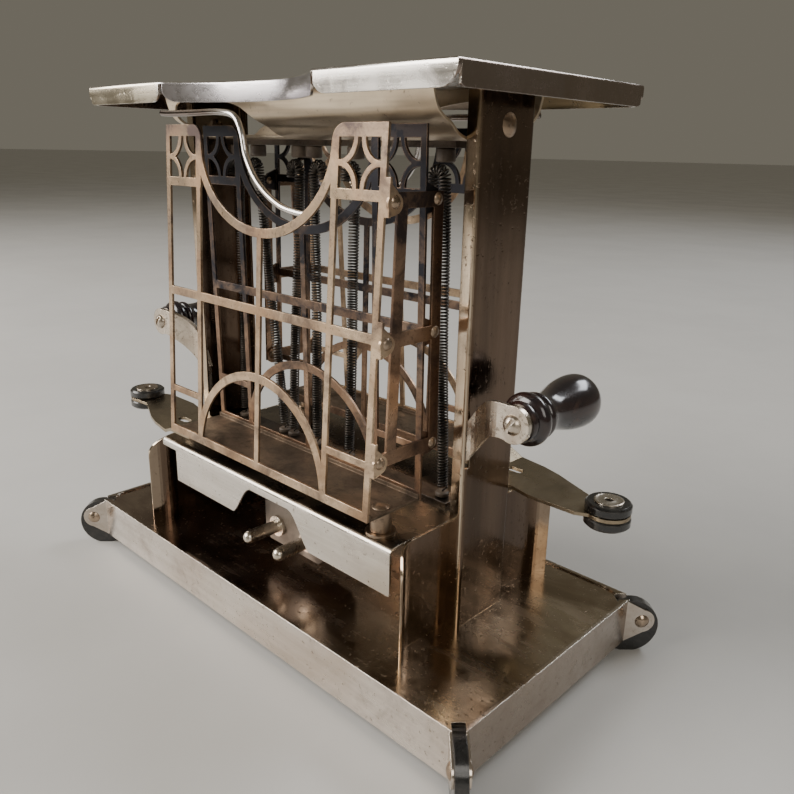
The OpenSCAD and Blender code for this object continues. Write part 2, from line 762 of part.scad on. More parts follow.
// Where the two grilles stand across the basket at a height above the floor
function outer_at(high) = -basket_deep / 2 + high * tan(outer_lean);
function inner_at(high) = basket_deep / 2 - high * tan(inner_lean);

// Frame that closes the right end, between the outer grille's ears and the inner grille's ears
module end_ladder() {
    half = ladder_band / 2;
    color(dark_steel) in_basket() difference() {
        translate([basket_half, 0, 0]) along_x(grille_thick) {
            for (high = band_heights) {
                low = high - half;
                top = high + half;
                polygon([[outer_at(low) + grille_thick, low], [inner_at(low) + ladder_end, low],
                         [inner_at(top) + ladder_end, top], [outer_at(top) + grille_thick, top]]);
            }
            slat(-3.3, -0.2);
            slat(inner_at(band_heights[2]) + ladder_end - slat_wide / 2,
                 inner_at(band_heights[0]) + ladder_end - slat_wide / 2);
        }
        at_ladder_rivets() translate([-4, 0, 0]) rotate([0, 90, 0]) cylinder(h = 5, r = ladder_hole_r);
    }
}

// Puts the same thing at each ladder rivet, with x = 0 on the outer face of the ear or the ladder
module at_ladder_rivets() {
    for (high = band_heights) {
        on_outer() translate([basket_half + 2 * grille_thick, ladder_rivet_in, high]) children();
        on_inner() translate([basket_half + grille_thick, back_rivet_in - grille_thick, high]) children();
    }
}

// Leaning upright of the ladder, from its lowest band to its highest
module slat(foot, head) {
    low = band_heights[2];
    high = band_heights[0];
    half = slat_wide / 2;
    polygon([[foot - half, low], [foot + half, low], [head + half, high], [head - half, high]]);
}

module ladder_rivets() {
    grip = 2 * grille_thick;
    rivet = ladder_hole_r - fit;
    color(nickel) in_basket() at_ladder_rivets() {
        rotate([0, 90, 0]) dome(1.9, 0.8);
        translate([-grip, 0, 0]) rotate([0, 90, 0]) cylinder(h = grip, r = rivet);
        translate([-grip, 0, 0]) rotate([0, -90, 0]) dome(1.5, 0.5);
    }
}

// Bent spring wire that holds the closed basket under the top plate
module latch_wire() {
    color(bright_wire) translate([0, 0, base_top]) tube(curve(wire_route, 3), wire_r, 12, [0, 1, 0]);
}

// Flat pull under the basket floor that narrows to the eye of the finger button
module lever() {
    root = -40;
    outline = [[root, -41.2], [-52, -41.6], [-59.5, -40.7], [-70, -38.9], [-77.4, -36.6], [-86, -32.8],
               [-94.3, -29.2], lever_eye + [-0.9, -7], lever_eye + [2.8, 6.4], [-97, -14.6],
               [-79.6, -14.4], [-70.5, -16.6], [-60, -18.4], [root, -18.6]];
    side = [[-120, 0], [step_to, 0], [step_from, lever_drop], [root + 1, lever_drop]];
    color(bronze) translate([0, 0, lever_z]) difference() {
        union() {
            intersection() {
                translate([0, 0, -1]) linear_extrude(lever_drop + lever_thick + 2) polygon(outline);
                translate([0, -50, 0]) upright(40) polygon(bent_sheet(side, lever_thick));
            }
            translate(lever_eye) cylinder(h = lever_thick, r = lever_eye_r);
        }
        translate(concat(lever_slot, [-1])) {
            translate([-2, -slot_r, 0]) cube([4, 2 * slot_r, lever_thick + 2]);
            for (side = [-2, 2]) translate([side, 0, 0]) cylinder(h = lever_thick + 2, r = slot_r);
        }
        translate(concat(lever_eye, [-1])) cylinder(h = lever_thick + 2, r = 2 + fit);
    }
}

module button(low) {
    edge = 0.7;
    color(black_fibre) translate([lever_eye[0], lever_eye[1], low]) difference() {
        rotate_extrude() polygon([[0, 0], [button_r - edge, 0], [button_r, edge],
                                  [button_r, button_thick - edge], [button_r - edge, button_thick],
                                  [0, button_thick]]);
        translate([0, 0, -1]) cylinder(h = button_thick + 2, r = 2 + fit);
    }
}

module eyelet() {
    low = lever_z - button_thick;
    high = 2 * button_thick + lever_thick;
    color(nickel) translate([lever_eye[0], lever_eye[1], low]) difference() {
        union() {
            cylinder(h = high, r = 2);
            translate([0, 0, -0.6]) cylinder(h = 0.6, r = 3.4);
            translate([0, 0, high]) cylinder(h = 0.6, r = 3.4);
        }
        translate([0, 0, -2]) cylinder(h = high + 4, r = 1.3);
    }
}

module spindle() {
    seat = shelf_top + bushing_high + 0.1;
    color(nickel) translate([swing_x, swing_y, 0]) {
        translate([0, 0, shelf_top - 5]) cylinder(h = floor_z - shelf_top + 5, r = spindle_r);
        translate([0, 0, seat]) cylinder(h = floor_z - seat, r = 3.5);
        translate([0, 0, floor_z]) cylinder(h = sheet, r = 2);
        translate([0, 0, floor_z + sheet]) dome(3, 0.9);
    }
}

module spindle_clip() {
    color(nickel) translate([swing_x, swing_y, shelf_top - 2.6]) difference() {
        cylinder(h = 0.9, r = 4.9);
        translate([0, 0, -1]) cylinder(h = 3, r = spindle_r);
    }
}

base_pan();
foot(-1, -1);  // front_left_foot
foot(1, -1);  // front_right_foot
foot(-1, 1);  // back_left_foot
foot(1, 1);  // back_right_foot
foot_rivets();
shelf();
turned() end_panel();  // left_end_panel
end_panel();  // right_end_panel
turned() translate([0, end_shift, 0]) post(post_wid / 2 - 2.4);  // left_post
translate([0, end_shift, 0]) post(0.6 - post_wid / 2);  // right_post
post_rivets();
top_rail();
top_plate();
mirror([1, 0, 0]) handle_arm(-end_shift);  // left_handle_arm
handle_arm(end_shift);  // right_handle_arm
mirror([1, 0, 0]) grip(-end_shift);  // left_grip
grip(end_shift);  // right_grip
grip_washers();
grip_screws();
terminal_block();
plug_pin(-1);  // left_plug_pin
plug_pin(1);  // right_plug_pin
upper_element_strip();
lower_element_strip();
upper_insulators();
lower_insulators();
heating_coil(0);  // heating_coil_1
heating_coil(1);  // heating_coil_2
heating_coil(2);  // heating_coil_3
heating_coil(3);  // heating_coil_4
heating_coil(4);  // heating_coil_5
heating_coil(5);  // heating_coil_6
bushing();  // front_bushing
turned() bushing();  // back_bushing
outer_grille();  // front_outer_grille
inner_grille();  // front_inner_grille
basket_floor();  // front_basket_floor
end_ladder();  // front_end_ladder
ladder_rivets();  // front_ladder_rivets
latch_wire();  // front_latch_wire
lever();  // front_lever
button(lever_z + lever_thick);  // front_upper_button
button(lever_z - button_thick);  // front_lower_button
eyelet();  // front_eyelet
spindle();  // front_spindle
spindle_clip();  // front_spindle_clip
turned() outer_grille();  // back_outer_grille
turned() inner_grille();  // back_inner_grille
turned() basket_floor();  // back_basket_floor
turned() end_ladder();  // back_end_ladder
turned() ladder_rivets();  // back_ladder_rivets
turned() latch_wire();  // back_latch_wire
turned() lever();  // back_lever
turned() button(lever_z + lever_thick);  // back_upper_button
turned() button(lever_z - button_thick);  // back_lower_button
turned() eyelet();  // back_eyelet
turned() spindle();  // back_spindle
turned() spindle_clip();  // back_spindle_clip
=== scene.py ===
"""Looks of a worn nickel-plated toaster with two swinging bread baskets, on a plain pale floor.

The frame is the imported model's: +X runs to the right end, the front faces -Y, +Z is up and the table is
at z = 0. The back half is the front half turned by 180 degrees about +Z. Blender works in metres; the
sizes of the pieces made here are written in millimetres, and MM turns them into metres.
"""

import json
import math

import bmesh
import bpy
from mathutils import Matrix, Vector


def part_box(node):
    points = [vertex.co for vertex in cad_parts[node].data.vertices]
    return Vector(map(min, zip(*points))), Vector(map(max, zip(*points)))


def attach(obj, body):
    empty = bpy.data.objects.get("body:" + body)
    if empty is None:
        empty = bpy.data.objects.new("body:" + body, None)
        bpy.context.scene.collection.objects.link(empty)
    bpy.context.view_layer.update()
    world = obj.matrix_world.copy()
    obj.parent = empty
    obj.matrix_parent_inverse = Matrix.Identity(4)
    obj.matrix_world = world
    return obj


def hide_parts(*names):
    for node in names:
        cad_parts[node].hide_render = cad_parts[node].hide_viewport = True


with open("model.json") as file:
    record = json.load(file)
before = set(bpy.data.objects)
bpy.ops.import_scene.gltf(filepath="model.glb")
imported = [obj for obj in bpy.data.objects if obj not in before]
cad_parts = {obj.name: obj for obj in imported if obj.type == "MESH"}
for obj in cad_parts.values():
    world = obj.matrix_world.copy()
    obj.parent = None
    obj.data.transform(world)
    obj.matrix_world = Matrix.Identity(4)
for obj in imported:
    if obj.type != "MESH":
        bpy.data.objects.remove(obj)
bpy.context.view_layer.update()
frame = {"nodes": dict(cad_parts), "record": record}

MM = 0.001
BEVEL_SAMPLES = 4
SHARP_ANGLE = 35


class Look:
    """A procedural material on one Principled shader, laid out in the object's own coordinates."""

    def __init__(self, name, **sockets):
        self.material = bpy.data.materials.new(name)
        self.material.use_nodes = True
        self.tree = self.material.node_tree
        self.shader = self.tree.nodes["Principled BSDF"]
        for socket, value in sockets.items():
            self.shader.inputs[socket.replace("_", " ")].default_value = value
        self.coords = self.tree.nodes.new("ShaderNodeTexCoord")

    def put(self, socket, value):
        """Links an output to a socket, or sets the socket to a number or colour."""
        if isinstance(value, bpy.types.NodeSocket):
            self.tree.links.new(value, socket)
        elif isinstance(value, tuple) and len(value) == 3 and socket.type == "RGBA":
            socket.default_value = (*value, 1)
        else:
            socket.default_value = value

    def node(self, kind, **inputs):
        """A new node of the kind, with the inputs named here linked or set."""
        node = self.tree.nodes.new("ShaderNode" + kind)
        for socket, value in inputs.items():
            self.put(node.inputs[socket.replace("_", " ")], value)
        return node

    def noise(self, scale, detail, rough, stretch=(1, 1, 1), distortion=0, at=(0, 0, 0)):
        """Noise from 0 to 1, drawn out along an axis whose stretch is below 1."""
        mapping = self.node("Mapping", Vector=self.coords.outputs["Object"], Scale=stretch, Location=at)
        return self.node("TexNoise", Vector=mapping.outputs[0], Scale=scale, Detail=detail,
                         Roughness=rough, Distortion=distortion).outputs["Fac"]

    def part(self, output, axis):
        """One component of the object coordinates or of the object-space normal."""
        node = self.tree.nodes.new("ShaderNodeSeparateXYZ")
        self.tree.links.new(self.coords.outputs[output], node.inputs[0])
        return node.outputs[axis]

    def size(self, output, axis):
        """Such a component without its sign."""
        return self.math("ABSOLUTE", self.part(output, axis))

    def level(self, value, low, high, to_low=0.0, to_high=1.0):
        """Smooth step from to_low to to_high as the value goes from low to high."""
        node = self.node("MapRange", From_Min=low, From_Max=high, To_Min=to_low, To_Max=to_high)
        node.interpolation_type = "SMOOTHSTEP"
        self.put(node.inputs["Value"], value)
        return node.outputs["Result"]

    def math(self, operation, a, b=0.0, clamp=False):
        """Result of a Math node's operation on one or two values."""
        node = self.tree.nodes.new("ShaderNodeMath")
        node.operation = operation
        node.use_clamp = clamp
        self.put(node.inputs[0], a)
        self.put(node.inputs[1], b)
        return node.outputs[0]

    def times(self, a, b):
        return self.math("MULTIPLY", a, b)

    def mix(self, factor, a, b):
        """The colour a where the factor is 0 and b where it is 1."""
        node = self.tree.nodes.new("ShaderNodeMix")
        node.data_type = "RGBA"
        # The Mix node has a set of sockets for each data type, and these are the places of the colours'
        for place, value in ((0, factor), (6, a), (7, b)):
            self.put(node.inputs[place], value)
        return node.outputs[2]

    def rounded_normal(self, radius):
        """The normal that the surface would have with its edges rounded."""
        bevel = self.node("Bevel", Radius=radius)
        bevel.samples = BEVEL_SAMPLES
        return bevel.outputs[0]

    def edges(self, radius):
        """Mask of the places within the radius of a sharp edge."""
        geometry = self.tree.nodes.new("ShaderNodeNewGeometry")
        dot = self.tree.nodes.new("ShaderNodeVectorMath")
        dot.operation = "DOT_PRODUCT"
        self.put(dot.inputs[0], self.rounded_normal(radius))
        self.put(dot.inputs[1], geometry.outputs["Normal"])
        bent = self.math("SUBTRACT", 1.0, dot.outputs["Value"])
        return self.level(bent, 0.02, 0.25)

    def bump(self, height, strength, distance, soften=0.0):
        """Raises the surface by the height, over edges rounded by the radius that soften gives."""
        node = self.node("Bump", Strength=strength, Distance=distance, Height=height)
        if soften:
            self.put(node.inputs["Normal"], self.rounded_normal(soften))
        self.put(self.shader.inputs["Normal"], node.outputs[0])

    def finish(self, colour, roughness):
        """Sets the colour and the roughness, and returns the material."""
        self.put(self.shader.inputs["Base Color"], colour)
        self.put(self.shader.inputs["Roughness"], roughness)
        return self.material


def brighter(colour, factor):
    return tuple(min(1, channel * factor) for channel in colour)


def worn_plate(name, bright, bloom, grime, grain=(1, 1, 1), rough=(0.16, 0.34), spots=(0.60, 0.74),
               wear=0.5, dents=0.3, patchy=0.45, tint=None):
    """Old metal plate: heat bloom in clouds, dark freckles, fine brush lines, dents and bright edges.

    bright, bloom and grime are colours, grain stretches the brush lines, rough holds the least and the
    greatest roughness, and spots is the range of the noise that makes freckles. tint, when given, gets
    the look and its colour so far, and returns the colour to go on with.
    """
    look = Look(name, Metallic=1.0)
    clouds = look.noise(14, detail=5, rough=0.6, distortion=0.7)
    colour = look.mix(look.level(clouds, 0.42, 0.68), bright, bloom)
    if tint:
        colour = tint(look, colour)
    patches = look.noise(46, detail=6, rough=0.65, distortion=0.4, at=(3, 1, 2))
    colour = look.mix(look.level(patches, 0.50, 0.76, 0.0, patchy), colour, grime)
    freckles = look.noise(620, detail=3, rough=0.6, at=(1, 5, 2))
    colour = look.mix(look.level(freckles, *spots, 0.0, 0.55), colour, grime)
    lines = look.noise(260, detail=3, rough=0.7, stretch=grain)
    colour = look.mix(look.level(lines, 0.30, 0.72, 0.0, 0.22), colour, grime)
    edge = look.times(look.edges(0.6 * MM), look.level(patches, 0.38, 0.60, 1.0, 0.25))
    colour = look.mix(look.times(edge, wear), colour, brighter(bright, 1.25))
    smears = look.noise(38, detail=4, rough=0.6, distortion=1.2, at=(7, 2, 9))
    roughness = look.level(smears, 0.34, 0.68, *rough)
    roughness = look.math("ADD", roughness, look.level(freckles, *spots, 0.0, 0.16))
    roughness = look.math("ADD", roughness, look.level(lines, 0.30, 0.75, -0.03, 0.07), clamp=True)
    hollows = look.noise(34, detail=2, rough=0.4, at=(4, 4, 1))
    height = look.math("ADD", look.times(hollows, dents), look.times(lines, 0.05))
    height = look.math("SUBTRACT", height, look.level(freckles, *spots, 0.0, 0.05))
    look.bump(height, 0.5, 1.2 * MM, soften=0.25 * MM)
    return look.finish(colour, roughness)


def old_grille(name, bare, tan, dark, fade=None, rough=(0.26, 0.48)):
    """Pierced sheet with heat colours: bare metal, tan and dark oxide in patches.

    fade, when given, darkens the sheet upward. It holds the two heights, in metres, between which the
    dark grows, and its least and greatest share.
    """
    look = Look(name, Metallic=1.0)
    clouds = look.noise(30, detail=6, rough=0.62, distortion=0.9)
    colour = look.mix(look.level(clouds, 0.36, 0.64), bare, tan)
    oxide = look.noise(70, detail=6, rough=0.7, distortion=0.5, at=(6, 1, 3))
    cover = look.level(oxide, 0.42, 0.72, 0.0, 0.8)
    if fade:
        cover = look.math("ADD", cover, look.level(look.part("Object", "Z"), *fade), clamp=True)
    colour = look.mix(cover, colour, dark)
    specks = look.noise(900, detail=3, rough=0.6, at=(2, 8, 1))
    colour = look.mix(look.level(specks, 0.56, 0.72, 0.0, 0.5), colour, dark)
    edge = look.times(look.edges(0.5 * MM), look.level(oxide, 0.36, 0.62, 0.7, 0.1))
    colour = look.mix(edge, colour, brighter(bare, 1.35))
    roughness = look.level(clouds, 0.34, 0.68, *rough)
    roughness = look.math("ADD", roughness, look.level(oxide, 0.45, 0.75, 0.0, 0.2), clamp=True)
    grain = look.math("ADD", look.times(oxide, 0.25), look.times(specks, 0.08))
    look.bump(grain, 0.5, 0.8 * MM, soften=0.3 * MM)
    return look.finish(colour, roughness)


def walnut():
    """Nearly black varnished wood with brown showing where hands have rubbed it."""
    look = Look("walnut", Metallic=0.0, Coat_Weight=0.8, Coat_Roughness=0.12)
    grain = look.noise(120, detail=5, rough=0.6, stretch=(1, 0.12, 1), distortion=0.8)
    wood = look.mix(look.level(grain, 0.36, 0.68), (0.011, 0.007, 0.010), (0.038, 0.017, 0.014))
    rub = look.noise(95, detail=5, rough=0.65, distortion=0.4, at=(3, 3, 3))
    colour = look.mix(look.level(rub, 0.56, 0.74, 0.0, 0.7), wood, (0.095, 0.042, 0.022))
    chips = look.noise(700, detail=3, rough=0.6)
    colour = look.mix(look.level(chips, 0.68, 0.78, 0.0, 0.5), colour, (0.17, 0.10, 0.06))
    roughness = look.level(rub, 0.40, 0.70, 0.16, 0.34)
    height = look.math("ADD", look.times(grain, 0.25), look.level(chips, 0.62, 0.78, 0.0, -0.3))
    look.bump(height, 0.4, 0.5 * MM)
    return look.finish(colour, roughness)


def black_fibre():
    """Pressed fibre, dull black with grey scuffs and a gritty surface."""
    look = Look("black_fibre", Metallic=0.0, Coat_Weight=0.6, Coat_Roughness=0.14)
    grit = look.noise(1500, detail=3, rough=0.6)
    scuff = look.noise(160, detail=6, rough=0.7, distortion=0.6, at=(4, 2, 2))
    colour = look.mix(look.level(scuff, 0.48, 0.74), (0.009, 0.009, 0.009), (0.045, 0.038, 0.034))
    worn = look.times(look.edges(0.7 * MM), look.level(scuff, 0.36, 0.6, 0.8, 0.2))
    colour = look.mix(worn, colour, (0.15, 0.125, 0.105))
    colour = look.mix(look.level(grit, 0.58, 0.78, 0.0, 0.25), colour, (0.09, 0.08, 0.07))
    roughness = look.level(scuff, 0.36, 0.68, 0.22, 0.46)
    look.bump(grit, 0.15, 0.2 * MM, soften=0.5 * MM)
    return look.finish(colour, roughness)


def porcelain():
    """Fired ceramic gone grey-brown with dust and smoke."""
    look = Look("porcelain", Metallic=0.0)
    smoke = look.noise(60, detail=5, rough=0.6, distortion=0.5)
    colour = look.mix(look.level(smoke, 0.36, 0.68), (0.20, 0.16, 0.125), (0.075, 0.055, 0.042))
    specks = look.noise(1200, detail=2, rough=0.5, at=(1, 2, 3))
    colour = look.mix(look.level(specks, 0.60, 0.74, 0.0, 0.5), colour, (0.10, 0.08, 0.06))
    roughness = look.level(smoke, 0.36, 0.68, 0.34, 0.62)
    look.bump(specks, 0.3, 0.3 * MM, soften=0.4 * MM)
    return look.finish(colour, roughness)


def resistance_wire():
    """Dark oxidised heating wire with a little grey sheen."""
    look = Look("resistance_wire", Metallic=1.0)
    ash = look.noise(110, detail=5, rough=0.6, distortion=0.4)
    colour = look.mix(look.level(ash, 0.38, 0.68), (0.040, 0.038, 0.037), (0.13, 0.115, 0.10))
    fine = look.noise(1800, detail=2, rough=0.5)
    colour = look.mix(look.level(fine, 0.54, 0.78, 0.0, 0.35), colour, (0.26, 0.22, 0.18))
    roughness = look.level(ash, 0.36, 0.70, 0.28, 0.50)
    look.bump(fine, 0.3, 0.1 * MM)
    return look.finish(colour, roughness)


def pale_floor():
    """Plain paper, faintly mottled."""
    look = Look("pale_floor", Metallic=0.0)
    mottle = look.noise(6, detail=5, rough=0.6)
    colour = look.mix(look.level(mottle, 0.3, 0.7), (0.66, 0.65, 0.63), (0.60, 0.59, 0.57))
    return look.finish(colour, look.level(mottle, 0.3, 0.7, 0.50, 0.60))


# Half width and half length of the base's sunk deck, inside its raised lip, in millimetres
DECK_SIDE = 49
DECK_END = 104


def base_tint(look, colour):
    """Painted reflection on the sunk deck: dark purple brown on the left and olive on the right, in cloudy
    streaks; and painted shade on faces turned to the right end.
    """
    def within(axis, limit):
        return look.level(look.size("Object", axis), (limit - 0.5) * MM, (limit + 0.5) * MM, 1.0, 0.0)

    up = look.level(look.part("Normal", "Z"), 0.4, 0.9)
    deck = look.times(up, look.times(within("Y", DECK_SIDE), within("X", DECK_END)))
    streaks = look.noise(30, detail=6, rough=0.66, stretch=(0.35, 1, 1), distortion=1.6, at=(2, 2, 2))
    cloud = look.level(streaks, 0.34, 0.66)
    # Painted reflection of the surroundings: dark purple brown on the left of the deck, olive on the right
    dark_deck_reflection = look.mix(cloud, (0.25, 0.17, 0.13), (0.50, 0.385, 0.30))
    olive = look.mix(cloud, (0.32, 0.245, 0.16), (0.60, 0.50, 0.36))
    top = look.mix(look.level(look.part("Object", "X"), 10 * MM, 85 * MM), dark_deck_reflection, olive)
    colour = look.mix(look.times(deck, 0.95), colour, top)
    # Painted shade: faces turned to the right end are darkened
    right_end_shade = look.level(look.part("Normal", "X"), 0.5, 0.9)
    return look.mix(look.times(right_end_shade, 0.75), colour, (0.36, 0.295, 0.235))


def shelf_tint(look, colour):
    """Painted reflection of the dark backdrop on the shelf's top: a dark olive brown in clouds."""
    up = look.level(look.part("Normal", "Z"), 0.4, 0.9)
    shelf_clouds = look.noise(40, detail=6, rough=0.7, distortion=0.8, at=(5, 5, 5))
    # Painted reflection: upward faces take a dark olive brown
    brown = look.mix(look.level(shelf_clouds, 0.38, 0.66), (0.085, 0.064, 0.046), (0.24, 0.185, 0.125))
    return look.mix(look.times(up, 0.94), colour, brown)


def front_place(look):
    """The place along X on the front half, and along -X on the back half, which is turned."""
    return look.times(look.part("Object", "X"), look.math("SIGN", look.times(look.part("Object", "Y"), -1.0)))


def plate_tint(look, colour):
    """The warming plate's flanges: blue in the scoop, tan on the wing beside it, and painted shade on the end
    flanges.
    """
    place = front_place(look)
    flange = look.level(look.size("Normal", "Z"), 0.3, 0.7, 1.0, 0.0)
    scoop = look.times(look.level(place, -41 * MM, -38 * MM), look.level(place, 36 * MM, 39 * MM, 1.0, 0.0))
    colour = look.mix(look.times(look.times(scoop, flange), 0.6), colour, (0.50, 0.48, 0.55))
    wing = look.level(place, -42 * MM, -39 * MM, 1.0, 0.0)
    colour = look.mix(look.times(look.times(wing, flange), 0.7), colour, (0.62, 0.53, 0.36))
    # Painted shade: flanges turned to the ends are darkened
    end = look.level(look.size("Normal", "X"), 0.5, 0.9)
    return look.mix(look.times(end, 0.85), colour, (0.25, 0.185, 0.155))


def wire_tint(look, colour):
    """Painted shade on the spring wire where it lies under the plate."""
    # Painted shade: dark brown where the plate's flange hangs over the wire
    under = look.level(front_place(look), -34 * MM, -16 * MM, 0.9, 0.0)
    return look.mix(under, colour, (0.17, 0.13, 0.11))


def post_tint(look, colour):
    """Painted reflection of the dark surroundings on the posts' and panels' outer faces: dark chocolate brown
    in tall streaks.
    """
    tall = look.noise(42, detail=5, rough=0.64, stretch=(1, 1, 0.10), distortion=0.35, at=(1, 1, 8))
    # Painted reflection: dark chocolate brown in tall streaks on faces turned along X
    streaked_reflection = look.mix(look.level(tall, 0.34, 0.66), (0.165, 0.112, 0.080), (0.085, 0.057, 0.042))
    out = look.level(look.size("Normal", "X"), 0.45, 0.85)
    return look.mix(look.times(out, 0.96), colour, streaked_reflection)


# Finishes of worn metal plate, and of pierced or folded sheet with heat colours
PLATES = {
    "nickel_base": dict(bright=(0.86, 0.79, 0.72), bloom=(0.72, 0.62, 0.53), grime=(0.24, 0.17, 0.12),
                        grain=(0.05, 1, 1), rough=(0.13, 0.28), tint=base_tint),
    "nickel_sheet": dict(bright=(0.84, 0.79, 0.72), bloom=(0.70, 0.62, 0.52), grime=(0.17, 0.12, 0.08),
                         grain=(0.05, 1, 1), rough=(0.16, 0.32), spots=(0.62, 0.76), patchy=0.3,
                         tint=shelf_tint),
    "tan_rail": dict(bright=(0.80, 0.68, 0.52), bloom=(0.66, 0.54, 0.39), grime=(0.20, 0.14, 0.10),
                     grain=(0.04, 1, 1), rough=(0.30, 0.42), spots=(0.62, 0.74), dents=0.12, patchy=0.3),
    "nickel_plate": dict(bright=(0.86, 0.83, 0.78), bloom=(0.74, 0.69, 0.63), grime=(0.24, 0.20, 0.17),
                         grain=(0.05, 1, 1), rough=(0.16, 0.28), spots=(0.64, 0.78), wear=0.15,
                         dents=0.15, patchy=0.15, tint=plate_tint),
    "nickel_trim": dict(bright=(0.74, 0.68, 0.59), bloom=(0.54, 0.43, 0.33), grime=(0.15, 0.11, 0.08),
                        rough=(0.18, 0.36), spots=(0.56, 0.72)),
    "aged_rivet": dict(bright=(0.46, 0.36, 0.27), bloom=(0.30, 0.21, 0.14), grime=(0.10, 0.07, 0.05),
                       rough=(0.20, 0.38), spots=(0.54, 0.70)),
    "stained_nickel": dict(bright=(0.66, 0.55, 0.42), bloom=(0.46, 0.34, 0.23), grime=(0.11, 0.075, 0.05),
                           grain=(1, 1, 0.06), rough=(0.08, 0.20), dents=0.15, tint=post_tint),
    "brassy_lever": dict(bright=(0.42, 0.35, 0.25), bloom=(0.30, 0.23, 0.155), grime=(0.10, 0.07, 0.05),
                         rough=(0.24, 0.42)),
    "bright_wire": dict(bright=(0.82, 0.80, 0.78), bloom=(0.66, 0.60, 0.54), grime=(0.22, 0.17, 0.14),
                        rough=(0.10, 0.22), dents=0.05, tint=wire_tint),
}
GRILLES = {
    "bronzed_grille": dict(bare=(0.66, 0.50, 0.345), tan=(0.43, 0.285, 0.175), dark=(0.105, 0.078, 0.070),
                           fade=(0.164, 0.186, 0.0, 0.8)),
    "oxidised_grille": dict(bare=(0.46, 0.31, 0.21), tan=(0.25, 0.155, 0.10), dark=(0.036, 0.036, 0.042),
                            fade=(0.085, 0.165, 0.0, 0.92)),
    "brown_ladder": dict(bare=(0.40, 0.26, 0.17), tan=(0.23, 0.14, 0.09), dark=(0.055, 0.042, 0.040),
                         fade=(0.120, 0.172, 0.0, 0.75)),
    "oxidised_steel": dict(bare=(0.17, 0.145, 0.12), tan=(0.11, 0.085, 0.07), dark=(0.035, 0.031, 0.030)),
    "browned_floor": dict(bare=(0.30, 0.235, 0.175), tan=(0.175, 0.13, 0.095), dark=(0.055, 0.042, 0.033),
                          rough=(0.48, 0.66)),
}
materials = {name: worn_plate(name, **values) for name, values in PLATES.items()}
materials.update((name, old_grille(name, **values)) for name, values in GRILLES.items())
materials.update(walnut=walnut(), black_fibre=black_fibre(), porcelain=porcelain(),
                 resistance_wire=resistance_wire())

# Finishes of single pieces whose slot's finish is too bright or too grey for them
own_finish = {"post_rivets": "aged_rivet", "foot_rivets": "aged_rivet", "rail": "tan_rail"}
for side in ("front", "back"):
    own_finish[side + "_end_ladder"] = "brown_ladder"
    for ending in ("_ladder_rivets", "_bushing", "_spindle", "_spindle_clip"):
        own_finish[side + ending] = "aged_rivet"


def finish_of(name, slot):
    """The material of a CAD node or a piece: its own finish, if it has one, or else its slot's."""
    return materials[own_finish.get(name, slot)]


slot_of = {part["node"]: part["material_slot"] for part in frame["record"]["subparts"]}
for node_name, node_object in frame["nodes"].items():
    for material_slot in node_object.material_slots:
        material_slot.material = finish_of(node_name, slot_of[node_name])


def corners(node):
    """Lower and upper corner of a CAD node, in millimetres, rounded to a thousandth."""
    return [[round(float(value) / MM, 3) for value in corner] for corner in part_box(node)]


def new_piece(name, data):
    """An object of the scene with this mesh, light or camera."""
    piece = bpy.data.objects.new(name, data)
    bpy.context.scene.collection.objects.link(piece)
    return piece


def dress(piece, body, slot, *nodes):
    """Gives a new piece its body, its finish and the CAD nodes that it stands for."""
    piece.data.materials.append(finish_of(piece.name, slot))
    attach(piece, body)
    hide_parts(*nodes)


def tube(name, path, radius, sides):
    """Round wire along a path of points, closed at both ends, all in metres."""
    points = [Vector(point) for point in path]
    count = len(points)
    tangents = []
    for i in range(count):
        tangents.append((points[min(i + 1, count - 1)] - points[max(i - 1, 0)]).normalized())
    normal = tangents[0].orthogonal().normalized()
    vertices = []
    for point, tangent in zip(points, tangents):
        normal = (normal - normal.dot(tangent) * tangent).normalized()
        across = tangent.cross(normal)
        for k in range(sides):
            angle = 2 * math.pi * k / sides
            vertices.append(point + radius * (math.cos(angle) * normal + math.sin(angle) * across))
    faces = [tuple(range(sides - 1, -1, -1))]
    for i in range(count - 1):
        for k in range(sides):
            a = i * sides + k
            b = i * sides + (k + 1) % sides
            faces.append((a, b, b + sides, a + sides))
    faces.append(tuple(range((count - 1) * sides, count * sides)))
    mesh = bpy.data.meshes.new(name)
    mesh.from_pydata(vertices, [], faces)
    mesh.polygons.foreach_set("use_smooth", [True] * len(mesh.polygons))
    mesh.update()
    return new_piece(name, mesh)


def soften(mesh):
    """Shades a mesh smooth, except at edges sharper than the sharp angle."""
    mesh.polygons.foreach_set("use_smooth", [True] * len(mesh.polygons))
    mesh.set_sharp_from_angle(angle=math.radians(SHARP_ANGLE))
    mesh.update()


def solid(name, vertices, faces):
    """Closed piece with outward faces, from points in millimetres."""
    mesh = bpy.data.meshes.new(name)
    mesh.from_pydata([Vector(vertex) * MM for vertex in vertices], [], faces)
    shape = bmesh.new()
    shape.from_mesh(mesh)
    bmesh.ops.recalc_face_normals(shape, faces=shape.faces)
    shape.to_mesh(mesh)
    shape.free()
    soften(mesh)
    return new_piece(name, mesh)


def prism(name, outline, axis, low, high):
    """Bar along X, with an outline in Y and Z, or along Y, with an outline in X and Z."""
    count = len(outline)
    if axis == "X":
        vertices = [(w, u, v) for w in (low, high) for u, v in outline]
    else:
        vertices = [(u, w, v) for w in (low, high) for u, v in outline]
    faces = [tuple(range(count)), tuple(range(count, 2 * count))]
    faces += [(k, (k + 1) % count, count + (k + 1) % count, count + k) for k in range(count)]
    return solid(name, vertices, faces)


def block(name, low, high):
    """Box between two corners."""
    outline = ((low[1], low[2]), (high[1], low[2]), (high[1], high[2]), (low[1], high[2]))
    return prism(name, outline, "X", low[0], high[0])


